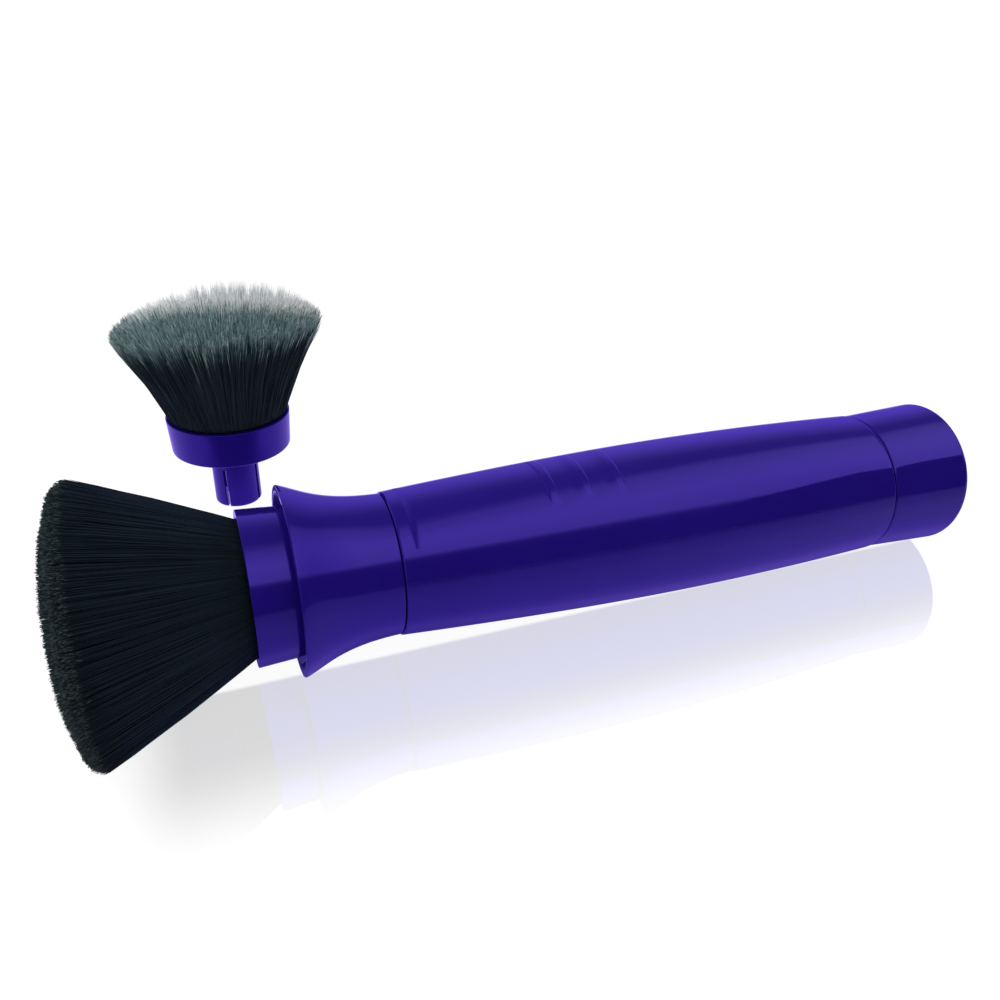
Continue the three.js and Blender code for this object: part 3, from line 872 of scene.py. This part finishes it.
class SpareTuft(Tuft):
    """Upright tuft with an uneven cut, and with tips painted pale on its +Y side, where the key
    light comes from: painted light.
    """
    seed = 11
    bundle_radius, radius, limit = 13.25, 25.4, 1.03
    shift = (-0.45, 0.2)
    bow, wave = -0.3, 0.25
    locks, pull, lock_step = 460, 0.3, 0.3
    ragged, short, swing = 0.55, 2.4, 0.35
    outer_count, inner_count = 4000, 8500
    thickness, taper = 0.092, [1.0, 1.0, 0.85, 0.62, 0.3]
    outer_along = (-0.35, 0.0, 0.03, 0.14, 0.5, 0.84, 1.0)
    core_inset, core_drop = 2.4, 4.2
    lip, early = 1.15, 0.17
    turn_degrees = -20.4        # the cut's own axes, about Z

    def cut_axes(self, x, y):
        """x and y along the cut's axes, about -1 to 1 across the tuft"""
        turn, reach = math.radians(self.turn_degrees), 25.9
        return ((x * math.cos(turn) + y * math.sin(turn)) / reach,
                (-x * math.sin(turn) + y * math.cos(turn)) / reach)

    def top(self, x, y, share):
        p, q = self.cut_axes(x, y)
        return (26.0 - 1.8 * np.clip(share, 0, 1) ** 3
                + 1.7 * p - 1.45 * (p * p - q * q) - 1.35 * p * q)

    # painted light: the tips on the +Y side, towards the key light, are painted near white
    def pale(self, x, y):
        return 0.02 + 0.97 * smooth01((self.cut_axes(x, y)[1] + 0.15) / 0.7)

    def fade(self, x, y):
        """The far edge is the raggedest and thins out."""
        return smooth01((self.cut_axes(x, y)[1] - 0.3) / 0.55)

    def outline(self, angle):
        """A little flatter round 222 degrees from the cut's axis, on the -X side."""
        away = (np.degrees(angle) - self.turn_degrees - 222 + 180) % 360 - 180
        return 1 - 0.085 * np.exp(-(away / 34.0) ** 2)

    def place(self, points):
        return points + np.array([0, 0, CUP_HEIGHT]) + SPARE


FittedTuft().build("bristles", "fitted_head", "bristle_tuft", "dark_bristle", dark_bristle)
SpareTuft().build("spare_bristles", "spare_head", "spare_bristle_tuft", "tipped_bristle",
                  tipped_bristle)

for plug_name in ("tuft_glue_plug", "spare_tuft_glue_plug"):
    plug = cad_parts[plug_name]
    plug.data.materials.clear()
    plug.data.materials.append(glue_material)


# ------------------------------------------------------------------------ floor
def leave_unsampled(block, setting):
    """Keeps a glowing floor or world out of Cycles' light sampling."""
    try:
        setattr(block.cycles, setting, "NONE")
    except AttributeError:      # guards a Blender that has Cycles switched off
        pass


# what the plastic mirrors of the table, by y: (y, colour)
MIRRORED_TABLE = [
    (-220, (0.03, 0.03, 0.05)), (-190, (0.05, 0.05, 0.09)), (-140, (0.27, 0.27, 0.4)),
    (-95, (0.36, 0.35, 0.52)), (-62, (0.4, 0.37, 0.58)), (-45, (0.47, 0.43, 0.74)),
    (-31, (0.43, 0.36, 0.8)), (-19, (0.33, 0.22, 0.92)), (-13, (0.31, 0.19, 0.95)),
    (-7, (0.1, 0.065, 0.42)), (12, (0.04, 0.03, 0.22)), (34, (0.06, 0.035, 0.32)),
    (62, (0.55, 0.37, 1.5)), (110, (0.6, 0.4, 1.6)), (160, (0.2, 0.14, 0.75)),
    (280, (0.19, 0.13, 0.72))]
BESIDE_SPARE = (0.55, 0.38, 1.4)
FLOOR_GLOW = 0.95               # as the camera sees it
FLOOR_GLOW_DIFFUSE = 0.66       # as it lights the brush
FLOOR_DIFFUSE = 0.11            # grey that takes the shadows
POLISH = 0.3                    # share of mirror in the strip before the brush


def floor_material():
    material = bpy.data.materials.new("floor_white")
    shader = Shader(material, empty=True)
    output = shader.add("OutputMaterial")
    position = shader.add("NewGeometry").outputs["Position"]
    split = shader.add("SeparateXYZ", {0: position})
    y = shader.math("MULTIPLY", split.outputs[1], 1000.0)
    x = shader.math("SUBTRACT", shader.math("MULTIPLY", split.outputs[0], 1000.0), RIM_X)

    low, width = 220.0, 500.0       # the table of colours starts at y = -low
    place = shader.math("DIVIDE", shader.math("ADD", y, low), width, clamp=True)
    seen = shader.ramp(place, [((at + low) / width, rgb) for at, rgb in MIRRORED_TABLE])
    aside = shader.math("ABSOLUTE", shader.math("SUBTRACT", x, float(SPARE[0]) - RIM_X))
    in_depth = shader.math("MULTIPLY", shader.slide(y, 22.0, 40.0), shader.slide(y, 150.0, 110.0))
    aside = shader.math("MULTIPLY", shader.slide(aside, 16.0, 42.0), in_depth)
    seen = shader.mix(aside, seen, BESIDE_SPARE)

    soft_gloss, path = shader.soft_gloss()
    level = shader.mix_float(path.outputs["Is Diffuse Ray"], FLOOR_GLOW, FLOOR_GLOW_DIFFUSE)
    white = shader.add("Emission", {"Strength": level})
    lambert = shader.add("BsdfDiffuse", {"Color": (FLOOR_DIFFUSE,) * 3})
    both = shader.add("AddShader", {0: white.outputs[0], 1: lambert.outputs[0]})
    mirror = shader.add("BsdfGlossy", {"Roughness": 0.0, "Color": (1.06, 0.97, 2.5)})
    # polished only in a strip in front of the brush, fading out towards the camera
    polish = shader.math("MULTIPLY", shader.slide(y, -49.0, -22.0), shader.slide(y, -4.6, -6.0))
    polish = shader.math("MULTIPLY", polish, shader.slide(x, -36.0, -22.0))
    polish = shader.math("MULTIPLY", polish, POLISH)
    table = shader.add("MixShader", {0: polish, 1: both.outputs[0], 2: mirror.outputs[0]})
    glow = shader.add("Emission", {"Color": seen})
    final = shader.add("MixShader", {0: soft_gloss, 1: table.outputs[0], 2: glow.outputs[0]})
    shader.feed(output, {"Surface": final.outputs[0]})
    leave_unsampled(material, "emission_sampling")
    return material


def build_floor():
    half = 6.0      # metres
    mesh = bpy.data.meshes.new("floor")
    mesh.from_pydata([(-half, -half, 0), (half, -half, 0), (half, half, 0), (-half, half, 0)],
                     [], [(0, 1, 2, 3)])
    floor = link_object("floor", mesh)
    floor.location = (RIM_X * MM, 0, TABLE_Z * MM - 0.00005)
    floor.rotation_euler = (0, -TILT, 0)
    mesh.materials.append(floor_material())


# ------------------------------------------------------------------------ light
# The plastic's mirrored room. Degrees run from the -Y horizon (0) over the top (90) to the +Y
# horizon (180), with the softbox between SOFTBOX_LOW and SOFTBOX_HIGH.
SOFTBOX_LOW, SOFTBOX_HIGH, BACKDROP = 35.0, 96.0, 132.0
MIRRORED_ROOM = [
    (0, (.03, .025, .08)), (22, (.03, .025, .085)), (30, (.07, .07, .13)),
    (33.2, (.3, .29, .44)), (35.5, (.75, .73, 1.05)), (38, (1.25, 1.2, 1.8)),
    (50, (1.38, 1.32, 2.0)), (62, (1.45, 1.4, 2.15)), (74, (1.32, 1.25, 1.95)),
    (84, (1.05, 1.0, 1.5)), (92, (.8, .76, 1.12)), (97, (.5, .46, .72)),
    (103, (.2, .18, .35)), (116, (.17, .15, .3)), (125, (.2, .17, .36)),
    (135, (.33, .25, .7)), (147, (.4, .28, 1.08)), (159, (.38, .24, 1.34)),
    (171, (.29, .18, 1.16)), (180, (.25, .17, .85))]
ROOM_LEVEL = 1.06               # white room as the camera sees it
AMBIENT = 0.72                  # white room as it lights the brush


def build_world():
    """An even white room, which rough gloss sees as a dark one with a softbox and a backdrop."""
    world = bpy.data.worlds.new("studio")
    bpy.context.scene.world = world
    shader = Shader(world)
    direction = shader.add("SeparateXYZ", {0: shader.add("TexCoord").outputs["Generated"]})
    x, y, z = direction.outputs
    angle = shader.math("ARCTAN2", z, shader.math("MULTIPLY", y, -1.0))
    angle = shader.math("MULTIPLY", angle, 180 / math.pi)

    # the softbox hangs askew: its upper edge rises towards +X, and the table is stretched to it
    rise = shader.math("MULTIPLY", shader.math("MAXIMUM", x, -0.2), 42.0)
    high_edge = shader.math("ADD", 81.0, rise)
    below = shader.math("MINIMUM", shader.math("SUBTRACT", angle, SOFTBOX_LOW), 0.0)
    place = shader.math("ADD", below, shader.map_range(angle, SOFTBOX_LOW, high_edge,
                                                       SOFTBOX_LOW, SOFTBOX_HIGH))
    place = shader.math("ADD", place, shader.map_range(angle, high_edge, BACKDROP,
                                                       0.0, BACKDROP - SOFTBOX_HIGH))
    above = shader.math("MAXIMUM", shader.math("SUBTRACT", angle, BACKDROP), 0.0)
    place = shader.math("ADD", place, above)
    place = shader.math("DIVIDE", place, 180.0, clamp=True)
    mirrored = shader.ramp(place, [(at / 180, rgb) for at, rgb in MIRRORED_ROOM])

    # dimmer and bluer towards +X, and an even pale wall beyond the bristles at -X
    far = shader.map_range(x, 0.45, 0.75, 0.0, 1.0)
    mirrored = shader.tint(far, mirrored, (0.74, 0.62, 0.95))
    farthest = shader.map_range(x, 0.76, 0.92, 0.0, 1.0)
    mirrored = shader.tint(farthest, mirrored, (0.4, 0.36, 0.5))
    wall = shader.map_range(x, -0.35, -0.6, 0.0, 1.0)
    mirrored = shader.mix(wall, mirrored, (0.5, 0.43, 0.95))

    soft_gloss, path = shader.soft_gloss()
    level = shader.mix_float(path.outputs["Is Diffuse Ray"], ROOM_LEVEL, AMBIENT)
    white = shader.add("CombineXYZ", {0: level, 1: level, 2: level})
    shader.feed(shader.find("BACKGROUND"), {
        "Color": shader.mix(soft_gloss, white.outputs[0], mirrored), "Strength": 1.0})
    leave_unsampled(world, "sampling_method")


def build_flag():
    """A black flag that only gloss sees: it cuts the softbox's lower edge off for the rear."""
    # [x from flag_x, y, z] along its upper edge
    top_edge = [(8, -124, 66), (24, -116, 79.3), (45, -107, 84.5), (75, -91, 91.5),
                (92, -92, 90), (125, -80, 88)]
    flag_x, bottom = BARREL_REAR + 22.5, 46
    verts = [Vector((x + flag_x, y, z)) * MM for x, y, z in top_edge]
    verts += [Vector((x + flag_x, y, bottom)) * MM for x, y, _ in top_edge]
    count = len(top_edge)
    mesh = bpy.data.meshes.new("flag")
    mesh.from_pydata(verts, [], [(k, k + 1, k + 1 + count, k + count) for k in range(count - 1)])
    flag = link_object("flag", mesh)
    material = bpy.data.materials.new("flag_black")
    shader = Shader(material, empty=True)
    black = shader.add("Emission", {"Color": (0.03, 0.025, 0.085)})
    shader.add("OutputMaterial", {"Surface": black.outputs[0]})
    mesh.materials.append(material)
    for ray in ("camera", "diffuse", "shadow", "transmission", "volume_scatter"):
        setattr(flag, "visible_" + ray, False)


def build_sun():
    """A soft key light from above, from -X and +Y."""
    light = bpy.data.lights.new("soft_key", "SUN")
    light.energy = 0.95
    light.angle = math.radians(34)
    sun = link_object("soft_key", light)
    heading = Vector((0.42, -0.36, -0.83))
    sun.rotation_euler = heading.to_track_quat("-Z", "Y").to_euler()
    sun.visible_glossy = False


def build_camera():
    data = bpy.data.cameras.new("camera")
    data.sensor_width = 36
    data.lens = 32.93
    data.clip_start = 0.005     # metres
    camera = link_object("camera", data)
    right = Vector((0.936958, -0.34879, 0.021337))
    up = Vector((0.150657, 0.458295, 0.875939))
    forward = Vector((0.315297, 0.817503, -0.481951))
    place = Vector(((RIM_X - 15.1368) * MM, -152.1704 * MM, 100.1844 * MM))
    turn = Matrix((right, up, -forward)).transposed().to_4x4()
    camera.matrix_world = Matrix.Translation(place) @ turn
    bpy.context.scene.camera = camera


build_floor()
build_world()
build_flag()
build_sun()
build_camera()
bpy.context.scene.view_settings.view_transform = "Standard"
